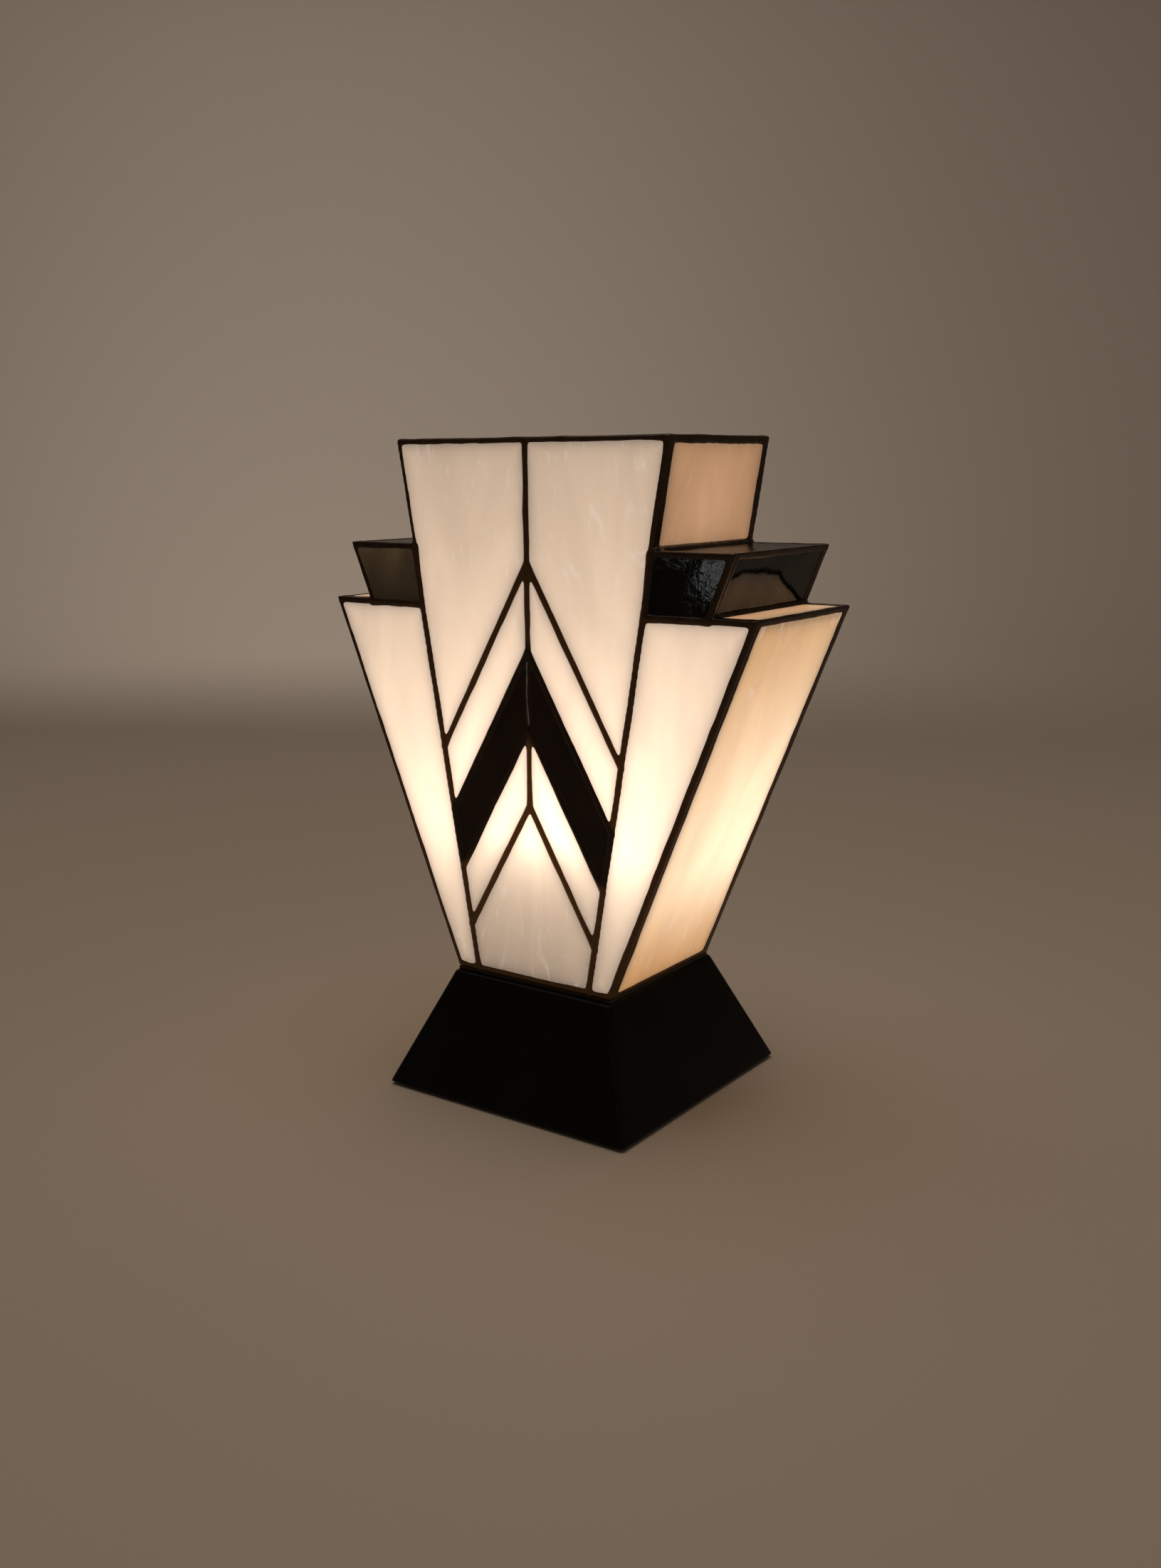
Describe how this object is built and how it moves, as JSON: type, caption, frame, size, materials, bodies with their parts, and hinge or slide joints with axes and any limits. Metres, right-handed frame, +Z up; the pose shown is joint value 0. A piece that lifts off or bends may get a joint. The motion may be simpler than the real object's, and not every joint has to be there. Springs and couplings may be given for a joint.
{
  "type": "table lamp",
  "caption": "Stepped fan-shaped leaded glass table lamp with chevrons, on a square tapered plinth, with a screw-in bulb.",
  "frame": {"origin": "middle of the plane that the felt pads rest on, under the middle of the plinth", "axes": "+Z up; the front panel faces -Y; +X is to the right seen from the front"},
  "size_m": [0.228, 0.134, 0.3],
  "materials": {
    "white_glass": "streaky white opalescent art glass, lit warm from inside",
    "black_glass": "glossy black art glass, slightly wavy",
    "leading": "hand-laid solder with a dark brown-black patina",
    "plate_metal": "darkened brass sheet",
    "black_paint": "wood with a satin black paint",
    "bare_wood": "unfinished wood",
    "hardboard": "brown hardboard",
    "felt": "dense green felt",
    "screw_brass": "plain brass screws",
    "grommet_rubber": "soft black rubber",
    "brass": "bright brass",
    "nut_steel": "zinc-plated steel",
    "bakelite": "dark moulded thermoset plastic",
    "bulb_insulator": "black glass insulator with a lead contact",
    "cap_metal": "bright rolled bulb cap",
    "bulb_opal": "opal glass, lit"
  },
  "bodies": {
    "lamp": {"front_crown_left": "white_glass", "front_crown_right": "white_glass", "front_outer_chevron_left": "white_glass", "front_outer_chevron_right": "white_glass", "front_inner_chevron_left": "white_glass", "front_inner_chevron_right": "white_glass", "front_wing_left": "white_glass", "front_wing_right": "white_glass", "back_crown_left": "white_glass", "back_crown_right": "white_glass", "back_outer_chevron_left": "white_glass", "back_outer_chevron_right": "white_glass", "back_inner_chevron_left": "white_glass", "back_inner_chevron_right": "white_glass", "back_wing_left": "white_glass", "back_wing_right": "white_glass", "front_foot_pane": "white_glass", "back_foot_pane": "white_glass", "left_side_lower": "white_glass", "left_side_lower_step": "white_glass", "left_side_crown": "white_glass", "right_side_lower": "white_glass", "right_side_lower_step": "white_glass", "right_side_crown": "white_glass", "front_black_chevron_left": "black_glass", "front_black_chevron_right": "black_glass", "front_tier_left": "black_glass", "front_tier_right": "black_glass", "back_black_chevron_left": "black_glass", "back_black_chevron_right": "black_glass", "back_tier_left": "black_glass", "back_tier_right": "black_glass", "left_side_black": "black_glass", "left_side_black_step": "black_glass", "right_side_black": "black_glass", "right_side_black_step": "black_glass", "front_leading": "leading", "back_leading": "leading", "left_leading": "leading", "right_leading": "leading", "shade_plate": "plate_metal", "front_board": "black_paint", "back_board": "black_paint", "left_board": "black_paint", "right_board": "black_paint", "top_board": "bare_wood", "bottom_cover": "hardboard", "glue_blocks": "bare_wood", "felt_pads": "felt", "wood_screws": "screw_brass", "cord_grommet": "grommet_rubber", "threaded_tube": "brass", "tube_nut": "nut_steel", "holder_base": "bakelite", "holder_contact": "brass", "holder_body": "bakelite", "holder_liner": "brass"},
    "bulb_core": {"bulb_tip": "bulb_insulator"},
    "bulb": {"bulb_cap": "cap_metal", "bulb_glass": "bulb_opal"}
  },
  "joints": [
    {"name": "bulb_lift", "type": "slide", "parent": "lamp", "child": "bulb_core", "axis": [0, 0, 1], "range_m": [0, 0.0182]},
    {"name": "bulb_turn", "type": "hinge", "parent": "bulb_core", "child": "bulb", "pos_m": [0, 0, 0.1], "axis": [0, 0, 1], "range_deg": [0, 1800]}
  ],
  "couplings": [
    {"joint": "bulb_lift", "follows": "bulb_turn", "m_per_rad": 0.00057757}
  ]
}
